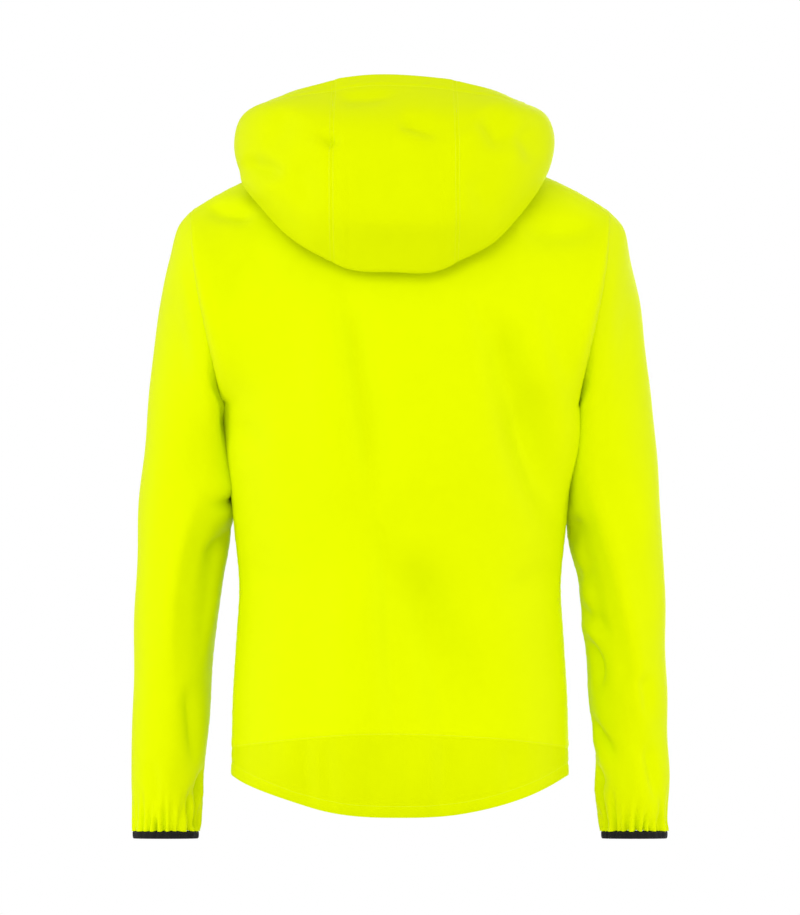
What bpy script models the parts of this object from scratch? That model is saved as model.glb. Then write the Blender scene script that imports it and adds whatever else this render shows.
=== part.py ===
"""Rain jacket with a hood, filled out as if worn, hood lying down on the back.

Units are metres, +Z is up and the front of the jacket faces -Y, so the wearer's left is +X.
The origin is at the base of the neck, on the line of the shoulders, where the wearer holds it.
"""

import math

import bmesh
import bpy
import numpy as np

# Cloth and seams
CLOTH = 0.0016          # thickness of every cloth wall
SEAM_GAP = 0.0005       # clear gap between two cloth pieces at a seam
RIDGE_GAP = 0.0012      # the same at the armholes and shoulders, where the walls lean together

# Neck and shoulders
NECK_HALF_WIDTH = 0.077
NECK_SIDE_Z, NECK_BACK_Z, NECK_FRONT_Z = -0.002, -0.024, -0.066
SHOULDER_X = 0.2226
SHOULDER_FALL, SHOULDER_ROLL = 0.0465, 0.017   # straight and curved part of the shoulder's slope
RIDGE_ROUND = 0.050     # how gently the line of the shoulders levels off at the neck

# Armholes
ARMPIT_X, ARMPIT_Z = 0.190, -0.268
ARMHOLE_BACK, ARMHOLE_FRONT = 0.070, 0.065     # how far the armhole bows to the back and front
ARMHOLE_SIDE_POWER = 1.2       # how early the armhole's edge swings out towards the shoulder

# Roundness of the body: the powers of a level section, and of the cloth's rise to the shoulder
SECTION_POWER, SECTION_ROOT = 2.4, 1.9
RISE_POWER, RISE_ROOT = 2.2, 1.8
BOW_POWER, BOW_SPREAD = 6, 3   # how closely the armhole's bow keeps to the armhole

# Hem
HEM_SIDE_Z, HEM_TAIL_DROP, HEM_TAIL_POWER = -0.6625, 0.0435, 2.6
HEM_FRONT_Z = -0.655
BAND_SIDE_Z, BAND_CENTRE_Z = -0.634, -0.620

# Panels' grids
NECK_COLUMNS, SHOULDER_COLUMNS = 5, 7
ARMHOLE_ROWS, BODY_ROWS, BAND_ROWS = 9, 12, 3
HOOD_ROWS = 18
SLEEVE_COLUMNS, SLEEVE_ROWS = 4 * ARMHOLE_ROWS, 14

# Cuffs
GATHER_HEIGHT, GATHER_DEPTH = 0.040, 0.0013
GATHER_ROWS = (0.6, 0.3, 0.0)  # rows in the gathers, as shares of their height above the binding
BINDING_HEIGHT, BINDING_THICKNESS = 0.0080, 0.0026

# Zip
ZIP_EDGE = 0.0034       # the fronts stop this far from the middle
COIL_HALF_WIDTH, COIL_THICKNESS, COIL_PROUD = 0.0028, 0.0020, 0.0004
TAPE_INNER_X, TAPE_OUTER_X, TAPE_THICKNESS = 0.0003, 0.0130, 0.0010
TAPE_DEPTH = 0.0007     # clear gap between the cloth's inner face and the tape
SLIDER_Z, SLIDER_CLEAR = 0.020, 0.0004
SLIDER_HEIGHT, SLIDER_WIDTH, SLIDER_THICKNESS, SLIDER_TAPER = 0.0110, 0.0092, 0.0018, 0.78
SLIDER_EDGE = 0.0004
ARCH_REACH, ARCH_HALF_HEIGHT, ARCH_WIRE = 0.0042, 0.0034, 0.0015
ARCH_FOOT_DEPTH, ARCH_POINTS = 0.0009, 13
PULL_CLEAR = 0.0013     # from the slider's plate to the axis of the pull
PULL_LENGTH, PULL_WIDTH, PULL_THICKNESS, PULL_BAR = 0.0340, 0.0074, 0.0012, 0.0012
PULL_SLOT_LENGTH, PULL_SLOT_WIDTH = 0.0050, 0.0032
PULL_CORNER, PULL_SLOT_CORNER = 0.0006, 0.0005

# The body's level sections: height, half width, back and front of the middle.
BODY = ("z", "half_width", "back", "front")
BODY_SECTIONS = (
    (-0.268, 0.1900, 0.1370, -0.1300),
    (-0.307, 0.1865, 0.1363, -0.1298),
    (-0.350, 0.1810, 0.1335, -0.1280),
    (-0.400, 0.1762, 0.126, -0.123),
    (-0.461, 0.1707, 0.121, -0.120),
    (-0.519, 0.1738, 0.122, -0.121),
    (-0.583, 0.1776, 0.125, -0.123),
    (-0.647, 0.1786, 0.128, -0.125),
    (-0.720, 0.1780, 0.131, -0.127),
)

# The sleeve's rings below the armhole: outer and inner edge, half the depth, and its middle.
SLEEVE = ("outer_x", "outer_z", "inner_x", "inner_z", "half_depth", "middle_y")
SLEEVE_RINGS = (
    (0.2345, -0.080, 0.1915, -0.284, 0.0710, -0.005),
    (0.2450, -0.115, 0.1890, -0.306, 0.0725, -0.014),
    (0.2545, -0.165, 0.1845, -0.336, 0.0720, -0.024),
    (0.2645, -0.245, 0.1800, -0.376, 0.0690, -0.033),
    (0.2735, -0.335, 0.1805, -0.416, 0.0640, -0.037),
    (0.2795, -0.435, 0.1875, -0.457, 0.0600, -0.038),
    (0.2825, -0.530, 0.1968, -0.530, 0.0560, -0.042),
    (0.2840, -0.615, 0.2040, -0.615, 0.0500, -0.046),
    (0.2857, -0.680, 0.2080, -0.680, 0.0440, -0.049),
    (0.2836, -0.7225, 0.2141, -0.7225, 0.0380, -0.051),
)

# The hood's profiles round the neck. Each starts on the neck seam at "at" degrees from the
# middle of the back and runs out along "heading": it rolls over the stand, lies down on the
# back, turns at the fold and comes up over the belly and the crown to the rim. Each place is
# its distance out from the seam and its height.
HOOD = ("at", "heading", "stand", "stand_z", "under", "under_z", "fold", "fold_z",
        "belly", "belly_z", "crown", "crown_z", "rim", "rim_z")
HOOD_PROFILES = (
    (0, 0, 0.014, -0.002, 0.048, -0.062, 0.087, -0.130,
     0.109, -0.066, 0.092, 0.022, 0.016, 0.0785),
    (36, 0.3, 0.0174, -0.0011, 0.0567, -0.0602, 0.0935, -0.129,
     0.1164, -0.0633, 0.0989, 0.0229, 0.0256, 0.0763),
    (54, 2, 0.020, 0.000, 0.066, -0.058, 0.100, -0.121,
     0.124, -0.060, 0.106, 0.024, 0.036, 0.0735),
    (72, 34, 0.016, 0.008, 0.056, -0.030, 0.086, -0.084,
     0.112, -0.036, 0.099, 0.036, 0.050, 0.0640),
    (90, 62, 0.016, 0.014, 0.056, -0.006, 0.090, -0.030,
     0.103, -0.004, 0.093, 0.036, 0.050, 0.055),
    (117, 88, 0.008, 0.004, 0.038, 0.000, 0.062, -0.008,
     0.074, 0.008, 0.062, 0.034, 0.034, 0.047),
    (144, 132, 0.002, -0.038, 0.012, -0.026, 0.022, -0.010,
     0.026, 0.008, 0.022, 0.024, 0.014, 0.038),
    (180, 180, -0.001, -0.052, -0.002, -0.037, -0.003, -0.021,
     -0.004, -0.004, -0.006, 0.014, -0.008, 0.032),
)
HOOD_SEAM_AT, HOOD_STEP = 54, 9
HOOD_SHIFT = 0.006      # the loose hood lies this far to the wearer's left
HOOD_LOOSE_ROWS = 6     # the shift grows over the first rows
HOOD_FIXED_AT, HOOD_LOOSE_SPAN = 165, 60       # and over these degrees from the zip

# Folds of the body as soft troughs: start, end, half width and depth, in the plane seen from
# behind or in front.
FOLD = ("x0", "z0", "x1", "z1", "half_width", "depth")
FOLD_FADE_ROWS = 4      # rows below a top edge over which the folds die away
FOLD_FADE_SIDE = 0.030  # and the same at the sides
FOLD_REACH = 1.15       # folds keep their depth over this share of their half length
BACK_FOLDS = (
    (0.0636, -0.1325, 0.0233, -0.4000, 0.016, 0.0035),
    (0.0233, -0.3800, 0.0080, -0.6000, 0.018, 0.0045),
    (0.0050, -0.4200, -0.0950, -0.6200, 0.020, 0.0035),
    (-0.1270, -0.2000, -0.1560, -0.3000, 0.013, 0.0055),
    (-0.1520, -0.2850, -0.1740, -0.3870, 0.012, 0.0045),
    (-0.1000, -0.1700, -0.1190, -0.2230, 0.012, 0.0030),
    (0.0900, -0.6300, 0.0850, -0.7000, 0.014, 0.0025),
)
FRONT_FOLDS = (
    (0.1200, -0.1900, 0.1500, -0.3200, 0.014, 0.0050),
    (-0.1180, -0.2050, -0.1450, -0.3050, 0.013, 0.0045),
    (0.0600, -0.4000, 0.0850, -0.6000, 0.018, 0.0035),
    (-0.0550, -0.3600, -0.0900, -0.5600, 0.018, 0.0040),
    (-0.0300, -0.1500, -0.0700, -0.2600, 0.014, 0.0025),
)

YELLOW = (0.855, 0.985, 0.003, 1.0)
BLACK = (0.006, 0.006, 0.005, 1.0)
ZIP_YELLOW = (0.76, 0.90, 0.010, 1.0)
GREY = (0.20, 0.20, 0.21, 1.0)


def clear_scene():
    for obj in list(bpy.data.objects):
        bpy.data.objects.remove(obj, do_unlink=True)


def material(name, colour, roughness, metallic=0.0):
    made = bpy.data.materials.new(name)
    made.use_nodes = True
    shader = made.node_tree.nodes["Principled BSDF"]
    shader.inputs["Base Color"].default_value = colour
    shader.inputs["Roughness"].default_value = roughness
    shader.inputs["Metallic"].default_value = metallic
    return made


def column(table, names, name):
    return np.array([row[names.index(name)] for row in table], float)


def smooth(at, stations, values):
    """A smooth curve through the values at rising stations, read at every place in `at`."""
    stations, values = np.asarray(stations, float), np.asarray(values, float)
    slopes = np.gradient(values, stations, axis=0)
    at = np.clip(at, stations[0], stations[-1])
    i = np.clip(np.searchsorted(stations, at, side="right") - 1, 0, len(stations) - 2)
    width = stations[i + 1] - stations[i]
    f = (at - stations[i]) / width
    extra = (1,) * (values.ndim - 1)
    f, width = f.reshape(f.shape + extra), width.reshape(width.shape + extra)
    return (
        values[i] * (1 + 2 * f) * (1 - f) ** 2
        + slopes[i] * width * f * (1 - f) ** 2
        + values[i + 1] * f**2 * (3 - 2 * f)
        + slopes[i + 1] * width * f**2 * (f - 1)
    )


def normals(grid):
    """Unit normals of a grid of points, rows by columns."""
    across = np.cross(np.gradient(grid, axis=1), np.gradient(grid, axis=0))
    return across / np.maximum(np.linalg.norm(across, axis=2, keepdims=True), 1e-12)


def draw_in(grid, first_row=0.0, last_row=0.0, first_column=0.0, last_column=0.0):
    """The grid with its edges pulled in by these distances, for the gaps at seams."""
    grid = grid.copy()
    for here, beside, distance in (
        ((0, slice(None)), (1, slice(None)), first_row),
        ((-1, slice(None)), (-2, slice(None)), last_row),
        ((slice(None), 0), (slice(None), 1), first_column),
        ((slice(None), -1), (slice(None), -2), last_column),
    ):
        step = grid[beside] - grid[here]
        length = np.maximum(np.linalg.norm(step, axis=-1, keepdims=True), 1e-9)
        grid[here] = grid[here] + step / length * distance
    return grid


def troughs(x, z, folds):
    """How deep the folds cut into the cloth at each place."""
    depth = np.zeros_like(x)
    for x0, z0, x1, z1, half_width, deepest in folds:
        run = np.array([x1 - x0, z1 - z0])
        along = ((x - x0) * run[0] + (z - z0) * run[1]) / (run @ run)
        nearest = np.clip(along, 0, 1)
        off = np.hypot(x - x0 - nearest * run[0], z - z0 - nearest * run[1])
        fade = np.clip(FOLD_REACH - np.abs(2 * along - 1), 0, 1)
        depth += deepest * np.exp(-((off / half_width) ** 2)) * fade
    return depth


def ridge_z(x):
    """The line of the shoulders, carried on level over the neck opening."""
    start, end = math.hypot(NECK_HALF_WIDTH, RIDGE_ROUND), math.hypot(SHOULDER_X, RIDGE_ROUND)
    q = (np.hypot(x, RIDGE_ROUND) - start) / (end - start)
    return NECK_SIDE_Z - SHOULDER_FALL * q - SHOULDER_ROLL * q**3


def round_section(share):
    """From 1 in the middle of a level section to 0 at its side."""
    return np.clip(1 - share**SECTION_POWER, 0, 1) ** (1 / SECTION_ROOT)


def shoulder_y(share, x, z, back):
    """How far the cloth above the armpits stands out, at a height and a share of the width."""
    climb = np.clip((z - ARMPIT_Z) / (ridge_z(x) - ARMPIT_Z), 0, 1)
    level = round_section(share) * (1 - climb**RISE_POWER) ** (1 / RISE_ROOT)
    spread = 0.5 + BOW_SPREAD * (1 - share)
    bow = share**BOW_POWER * (4 * climb * (1 - climb)) ** spread
    if back:
        return BODY_SECTIONS[0][2] * level + ARMHOLE_BACK * bow
    return BODY_SECTIONS[0][3] * level - ARMHOLE_FRONT * bow


def neck_point(at):
    """The neck seam at these angles in radians from the middle of the back."""
    reach = np.cos(at)
    x = NECK_HALF_WIDTH * np.sin(at)
    back_z = NECK_SIDE_Z + (NECK_BACK_Z - NECK_SIDE_Z) * reach
    front_z = NECK_SIDE_Z + (NECK_FRONT_Z - NECK_SIDE_Z) * reach**2
    z = np.where(reach > 0, back_z, front_z)
    share = x / SHOULDER_X
    y = np.where(reach > 0, shoulder_y(share, x, z, True), shoulder_y(share, x, z, False))
    return np.stack([x, y, z], axis=-1)


def shares(first_x):
    """The columns of half a panel as shares of its half width, from the middle to the side."""
    neck_share = NECK_HALF_WIDTH / SHOULDER_X
    first = math.asin(first_x / NECK_HALF_WIDTH)
    at_neck = np.radians(np.linspace(0, 90, NECK_COLUMNS + 1))
    at_neck[0] = first
    beyond = np.sin(np.linspace(0, math.pi / 2, SHOULDER_COLUMNS + 1))[1:]
    return np.concatenate([neck_share * np.sin(at_neck), neck_share + (1 - neck_share) * beyond])


def top_edge_z(share, back):
    """The height of a panel's top edge: the neck seam, then the shoulder seam."""
    x = share * SHOULDER_X
    at = np.arcsin(np.clip(x / NECK_HALF_WIDTH, 0, 1))
    on_neck = neck_point(at if back else math.pi - at)[..., 2]
    return np.where(x < NECK_HALF_WIDTH, on_neck, ridge_z(x))


def body_levels(share, z, back):
    """Points of the body below the armholes, at these shares of the half width and heights."""
    stations = -column(BODY_SECTIONS, BODY, "z")
    half = smooth(-z, stations, column(BODY_SECTIONS, BODY, "half_width"))
    middle = smooth(-z, stations, column(BODY_SECTIONS, BODY, "back" if back else "front"))
    return np.stack([share * half, middle * round_section(share), z], axis=-1)


def body_above(share, climb, back):
    """Points of the body above the armpits. climb goes from 0 there to 1 at the top edge."""
    z = ARMPIT_Z + (top_edge_z(share, back) - ARMPIT_Z) * climb
    half = ARMPIT_X + (SHOULDER_X - ARMPIT_X) * np.sin(climb * math.pi / 2) ** ARMHOLE_SIDE_POWER
    y = shoulder_y(share, share * SHOULDER_X, z, back)
    return np.stack([share * half, y, z], axis=-1)


def half_panel(share, rows_below, back, side):
    """A half panel from rows of heights below the armpit, and the rows above it."""
    climb = (1 - np.cos(np.linspace(0, math.pi, ARMHOLE_ROWS + 1))) / 2
    below = body_levels(*np.broadcast_arrays(share, rows_below), back)
    above = body_above(*np.broadcast_arrays(share, climb[1:, None]), back)
    grid = np.concatenate([below, above])
    grid[..., 0] *= side
    return grid


def folded(grid, folds):
    """The body's cloth with its folds pressed in towards the middle of the body."""
    depth = troughs(grid[..., 0], grid[..., 2], folds)
    depth[-FOLD_FADE_ROWS:] *= np.linspace(1, 0, FOLD_FADE_ROWS + 1)[1:, None]
    depth *= np.clip((SHOULDER_X - np.abs(grid[..., 0])) / FOLD_FADE_SIDE, 0, 1)
    return grid - np.sign(grid[..., 1:2]) * depth[..., None] * np.array([0.0, 1.0, 0.0])


def band_top(share):
    return BAND_CENTRE_Z + (BAND_SIDE_Z - BAND_CENTRE_Z) * share**2


def both_halves(half):
    """A half grid with +X columns from the middle out, and its mirror image, as one grid."""
    mirrored = half[:, :0:-1].copy()
    mirrored[..., 0] *= -1
    return np.concatenate([mirrored, half], axis=1)


def back_grid():
    share = shares(0.0)
    step = np.linspace(0, 1, BODY_ROWS + 1)[:, None]
    heights = band_top(share) + (ARMPIT_Z - band_top(share)) * step
    return both_halves(half_panel(share, heights, True, 1))


def band_grid():
    share = shares(0.0)
    tail = HEM_SIDE_Z - HEM_TAIL_DROP * (1 - share**HEM_TAIL_POWER)
    step = np.linspace(0, 1, BAND_ROWS + 1)[:, None]
    heights = tail + (band_top(share) - tail) * step
    return both_halves(body_levels(*np.broadcast_arrays(share, heights), True))


def front_heights(share):
    hem = HEM_FRONT_Z + (HEM_SIDE_Z - HEM_FRONT_Z) * share**2
    return hem + (ARMPIT_Z - hem) * np.linspace(0, 1, BODY_ROWS + 1)[:, None]


def front_grid(side):
    share = shares(ZIP_EDGE)
    return half_panel(share, front_heights(share), False, side)


def armhole_loop(side):
    """The armhole's edge from the shoulder down the back and up the front, twice as fine as
    the panels' own rows, so that it lies on their edges."""
    climb = (1 - np.cos(np.linspace(0, math.pi, ARMHOLE_ROWS + 1))) / 2
    one = np.ones_like(climb)
    back, front = body_above(one, climb, True), body_above(one, climb, False)
    corners = np.concatenate([back[::-1], front[1:]])
    loop = np.empty((SLEEVE_COLUMNS + 1, 3))
    loop[::2] = corners
    loop[1::2] = (corners[:-1] + corners[1:]) / 2
    loop[:, 0] *= side
    return loop


def sleeve_grid(side):
    at = np.linspace(0, 2 * math.pi, SLEEVE_COLUMNS + 1)
    rings = [armhole_loop(1)]
    for outer_x, outer_z, inner_x, inner_z, half_depth, middle_y in SLEEVE_RINGS:
        outer = np.array([outer_x, middle_y, outer_z])
        inner = np.array([inner_x, middle_y, inner_z])
        ring = (outer + inner) / 2 + np.cos(at)[:, None] * (outer - inner) / 2
        ring[:, 1] += half_depth * np.sin(at)
        rings.append(ring)
    rings = np.array(rings)
    steps = np.linalg.norm(np.diff(rings.mean(axis=1), axis=0), axis=1)
    stations = np.concatenate([[0], np.cumsum(steps)])
    length = stations[-1]
    plain = np.linspace(0, length - GATHER_HEIGHT, SLEEVE_ROWS + 1)
    gathered = length - GATHER_HEIGHT * np.array(GATHER_ROWS)
    places = np.concatenate([plain, gathered])
    grid = smooth(places, stations, rings)
    middle = grid[:, :-1].mean(axis=1, keepdims=True)
    outward = grid - middle
    outward /= np.linalg.norm(outward, axis=2, keepdims=True)
    pinch = np.clip(1 - (length - places) / GATHER_HEIGHT, 0, 1)
    wave = np.where(np.arange(SLEEVE_COLUMNS + 1) % 2, 1.0, -1.0)
    grid += (pinch[:, None] * wave * GATHER_DEPTH)[..., None] * outward
    grid[..., 0] *= side
    return grid[::-1]


def binding_grid(side):
    """The elastic binding, a short straight band below the sleeve's last ring."""
    at = np.linspace(0, 2 * math.pi, SLEEVE_COLUMNS + 1)
    outer_x, z, inner_x, _, half_depth, middle_y = SLEEVE_RINGS[-1]
    x = (outer_x + inner_x) / 2 + np.cos(at) * (outer_x - inner_x) / 2
    y = middle_y + half_depth * np.sin(at)
    rows = [np.stack([x * side, y, np.full_like(x, z - drop)], axis=-1)
            for drop in (BINDING_HEIGHT, BINDING_HEIGHT / 2, SEAM_GAP)]
    return np.array(rows)


def hood_rows(at):
    """Hood points in rows from the neck seam to the rim, at angles in degrees round the neck."""
    at = np.asarray(at, float)
    behind, before = HOOD_PROFILES[1], HOOD_PROFILES[-2]
    profiles = (
        (-behind[0], -behind[1], *behind[2:]),
        *HOOD_PROFILES,
        (360 - before[0], 360 - before[1], *before[2:]),
    )
    stations = column(profiles, HOOD, "at")
    table = {name: smooth(at, stations, column(profiles, HOOD, name)) for name in HOOD[1:]}
    heading = np.radians(table["heading"])
    out = np.stack([np.sin(heading), np.cos(heading), np.zeros_like(heading)], axis=-1)
    seam = neck_point(np.radians(at))
    knots = [seam]
    for place in ("stand", "under", "fold", "belly", "crown", "rim"):
        knot = seam + out * table[place][:, None]
        knot[:, 2] = table[place + "_z"]
        knots.append(knot)
    knots = np.array(knots)
    along = np.linalg.norm(np.diff(knots, axis=0), axis=2).mean(axis=1)
    stations = np.concatenate([[0], np.cumsum(along)])
    return smooth(np.linspace(0, stations[-1], HOOD_ROWS + 1), stations, knots)


def hood_grid(first, last, side):
    """One side of the hood between two angles. Its neck edge lies on the panels' top edges."""
    steps = round((last - first) / HOOD_STEP)
    at = np.linspace(first, first + steps * HOOD_STEP, steps + 1)
    if last == 180:
        at[-1] = 180 - math.degrees(math.asin(ZIP_EDGE / NECK_HALF_WIDTH))
        at[-2] = (at[-1] + at[-3]) / 2
    grid = hood_rows(at)
    grid[0, 1::2] = (grid[0, :-1:2] + grid[0, 2::2]) / 2
    grid[..., 0] *= side
    up = np.clip(np.arange(HOOD_ROWS + 1) / HOOD_LOOSE_ROWS, 0, 1)
    round_neck = np.clip((HOOD_FIXED_AT - at) / HOOD_LOOSE_SPAN, 0, 1)
    grid[..., 0] += HOOD_SHIFT * up[:, None] * round_neck
    return grid


def zip_strip(near, far, out, side=1):
    """A strip of the front beside the middle, from the hem to the top of the stand, moved out."""
    x = np.linspace(near, far, 3)
    share = x / SHOULDER_X
    front = half_panel(share, front_heights(share), False, 1)
    stand = hood_rows(180 - np.degrees(np.arcsin(x / NECK_HALF_WIDTH)))
    grid = np.concatenate([front, stand[1:]])
    grid += normals(grid) * out
    grid[..., 0] *= side
    return grid


def zip_place(z):
    """The point of the zip's front at a height, and how far it leans back there."""
    strip = zip_strip(0, COIL_HALF_WIDTH, COIL_PROUD)
    heights = strip[:, 0, 2]
    point = smooth(np.array([z]), heights, strip[:, 0])[0]
    reach = np.array([SLIDER_HEIGHT / 2, -SLIDER_HEIGHT / 2])
    above, below = smooth(z + reach, heights, strip[:, 0])
    lean = math.atan2(above[1] - below[1], above[2] - below[2])
    return point, lean


def cloth(name, grid, collection, finish, flip=False, thickness=CLOTH):
    """A cloth piece: a plane grid laid on the given rows and columns of points, made a wall."""
    rows, columns = grid.shape[0] - 1, grid.shape[1] - 1
    sheet = bmesh.new()
    bmesh.ops.create_grid(sheet, x_segments=columns, y_segments=rows, size=0.5)
    for vert in sheet.verts:
        i = round((vert.co.y + 0.5) * rows)
        j = round((vert.co.x + 0.5) * columns)
        vert.co = grid[i, j]
    if flip:
        bmesh.ops.reverse_faces(sheet, faces=sheet.faces)
    bmesh.ops.remove_doubles(sheet, verts=sheet.verts, dist=1e-6)
    bmesh.ops.triangulate(sheet, faces=sheet.faces, quad_method="SHORT_EDGE")
    mesh = bpy.data.meshes.new(name)
    sheet.to_mesh(mesh)
    sheet.free()
    mesh.shade_smooth()
    mesh.materials.append(finish)
    piece = bpy.data.objects.new(name, mesh)
    collection.objects.link(piece)
    wall = piece.modifiers.new("Cloth wall", "SOLIDIFY")
    wall.thickness = thickness
    wall.offset = -1
    return piece


def make_body(collection, yellow):
    back = folded(back_grid(), BACK_FOLDS)
    band = folded(np.concatenate([band_grid(), back_grid()[1:]]), BACK_FOLDS)[: BAND_ROWS + 1]
    gap, ridge = SEAM_GAP / 2, RIDGE_GAP / 2
    cloth("back", draw_in(back, gap, ridge, gap, gap), collection, yellow, flip=True)
    cloth("back_hem_band", draw_in(band, 0, gap, gap, gap), collection, yellow, flip=True)
    for name, side in (("front_left", 1), ("front_right", -1)):
        grid = draw_in(folded(front_grid(side), FRONT_FOLDS), 0, ridge, 0, gap)
        cloth(name, grid, collection, yellow, flip=side < 0)


def make_sleeves(collection, yellow, black):
    for name, side in (("left", 1), ("right", -1)):
        grid = draw_in(sleeve_grid(side), 0, RIDGE_GAP)
        cloth("sleeve_" + name, grid, collection, yellow, flip=side < 0)
        cloth("cuff_binding_" + name, binding_grid(side), collection, black,
              flip=side < 0, thickness=BINDING_THICKNESS)


def make_hood(collection, yellow):
    ridge = RIDGE_GAP / 2
    right, left = (hood_grid(0, HOOD_SEAM_AT, side) for side in (-1, 1))
    centre = np.concatenate([right[:, :0:-1], left], axis=1)
    cloth("hood_centre", draw_in(centre, ridge, 0, ridge, ridge), collection, yellow, flip=True)
    for name, side in (("hood_left", 1), ("hood_right", -1)):
        grid = draw_in(hood_grid(HOOD_SEAM_AT, 180, side), ridge, 0, ridge, 0)
        cloth(name, grid, collection, yellow, flip=side > 0)


def make_zip(collection, helpers, tape_finish, metal):
    for name, side in (("left", 1), ("right", -1)):
        strip = zip_strip(TAPE_INNER_X, TAPE_OUTER_X, -(CLOTH + TAPE_DEPTH), side)
        cloth("zip_tape_" + name, strip, collection, tape_finish,
              flip=side < 0, thickness=TAPE_THICKNESS)
    coil = both_halves(zip_strip(0, COIL_HALF_WIDTH, COIL_PROUD))
    cloth("zip_coil", coil, collection, tape_finish, thickness=COIL_THICKNESS)

    point, lean = zip_place(SLIDER_Z)
    out = np.array([0.0, -math.cos(lean), math.sin(lean)])
    plate_middle = point + out * (SLIDER_CLEAR + SLIDER_THICKNESS / 2)
    plate_face = point + out * (SLIDER_CLEAR + SLIDER_THICKNESS)
    slider = make_slider(collection, plate_middle, lean, metal)
    arch = make_arch(helpers, plate_face, lean)
    union = slider.modifiers.new("Arch", "BOOLEAN")
    union.operation = "UNION"
    union.object = arch
    make_pull(collection, plate_face + out * PULL_CLEAR, lean, metal)


def make_slider(collection, place, lean, finish):
    """The slider's plate, wider at the top where the two halves of the zip part."""
    bpy.ops.mesh.primitive_cube_add(size=1)
    slider = bpy.context.object
    slider.name = slider.data.name = "zip_slider"
    for vert in slider.data.vertices:
        taper = 1.0 if vert.co.z > 0 else SLIDER_TAPER
        vert.co.x *= SLIDER_WIDTH * taper
        vert.co.y *= SLIDER_THICKNESS
        vert.co.z *= SLIDER_HEIGHT
    slider.location = place
    slider.rotation_euler.x = -lean
    slider.data.materials.append(finish)
    move_to(slider, collection)
    edge = slider.modifiers.new("Rounded edges", "BEVEL")
    edge.width = SLIDER_EDGE
    edge.segments = 2
    return slider


def make_arch(helpers, place, lean):
    """The bridge on the slider's plate that the pull hangs from, as a bent wire."""
    turn = np.linspace(0, math.pi, ARCH_POINTS)
    curve = bpy.data.curves.new("arch", "CURVE")
    curve.dimensions = "3D"
    curve.bevel_depth = ARCH_WIRE / 2
    curve.bevel_resolution = 2
    curve.use_fill_caps = True
    line = curve.splines.new("POLY")
    line.points.add(ARCH_POINTS - 1)
    for spot, angle in zip(line.points, turn):
        out = ARCH_REACH * math.sin(angle) - ARCH_FOOT_DEPTH
        spot.co = (0.0, -out, ARCH_HALF_HEIGHT * math.cos(angle), 1.0)
    wire = bpy.data.objects.new("arch_wire", curve)
    helpers.objects.link(wire)
    wire.location = place
    wire.rotation_euler.x = -lean
    bpy.context.view_layer.update()
    solid = wire.evaluated_get(bpy.context.evaluated_depsgraph_get())
    mesh = bpy.data.meshes.new_from_object(solid)
    caps = bmesh.new()
    caps.from_mesh(mesh)
    bmesh.ops.remove_doubles(caps, verts=caps.verts, dist=1e-6)
    caps.to_mesh(mesh)
    caps.free()
    arch = bpy.data.objects.new("arch", mesh)
    arch.matrix_world = wire.matrix_world
    helpers.objects.link(arch)
    bpy.data.objects.remove(wire)
    arch.hide_render = True
    arch.display_type = "WIRE"
    return arch


def rounded_outline(half_width, low, high, corner):
    """A rectangle with round corners, as points in the order of its edge."""
    points = []
    for middle_x, middle_y, start in (
        (half_width - corner, high - corner, 0),
        (corner - half_width, high - corner, 90),
        (corner - half_width, low + corner, 180),
        (half_width - corner, low + corner, 270),
    ):
        for angle in np.radians(start + np.linspace(0, 90, 5)):
            points.append((middle_x + corner * math.cos(angle),
                           middle_y + corner * math.sin(angle)))
    return points


def make_pull(collection, hinge, lean, finish):
    """The pull tab, a flat plate with a slot that the arch passes through. It turns about X
    at the bar above its slot, where its origin is."""
    curve = bpy.data.curves.new("zip_pull", "CURVE")
    curve.dimensions = "2D"
    curve.fill_mode = "BOTH"
    curve.extrude = PULL_THICKNESS / 2
    bar = PULL_BAR / 2
    plate = rounded_outline(PULL_WIDTH / 2, bar - PULL_LENGTH, bar, PULL_CORNER)
    slot = rounded_outline(PULL_SLOT_WIDTH / 2, -bar - PULL_SLOT_LENGTH, -bar, PULL_SLOT_CORNER)
    for outline in (plate, slot):
        line = curve.splines.new("POLY")
        line.use_cyclic_u = True
        line.points.add(len(outline) - 1)
        for spot, (x, y) in zip(line.points, outline):
            spot.co = (x, y, 0.0, 1.0)
    curve.materials.append(finish)
    pull = bpy.data.objects.new("zip_pull", curve)
    pull.location = hinge
    pull.rotation_euler.x = math.pi / 2 - lean
    collection.objects.link(pull)


def move_to(obj, collection):
    for old in list(obj.users_collection):
        old.objects.unlink(obj)
    collection.objects.link(obj)


def main():
    clear_scene()
    collection = bpy.data.collections.new("Rain jacket")
    bpy.context.scene.collection.children.link(collection)
    helpers = bpy.data.collections.new("Helpers")
    bpy.context.scene.collection.children.link(helpers)
    yellow = material("Yellow cloth", YELLOW, 0.75)
    black = material("Black elastic", BLACK, 0.85)
    tape_finish = material("Yellow zip", ZIP_YELLOW, 0.6)
    metal = material("Grey metal", GREY, 0.4, 0.9)
    make_body(collection, yellow)
    make_sleeves(collection, yellow, black)
    make_hood(collection, yellow)
    make_zip(collection, helpers, tape_finish, metal)


main()
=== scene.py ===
"""The looks of a hooded rain jacket in thin neon yellow cloth, seen from behind as if worn.

Metres, +Z up. The front of the jacket faces -Y and the wearer's left is +X. The origin is at the
base of the neck. The cloth pieces are thin shells on the same surfaces as the solids of the
frame, with the seams, hems, gathers and creases that the cloth shows.
"""

import math

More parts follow.
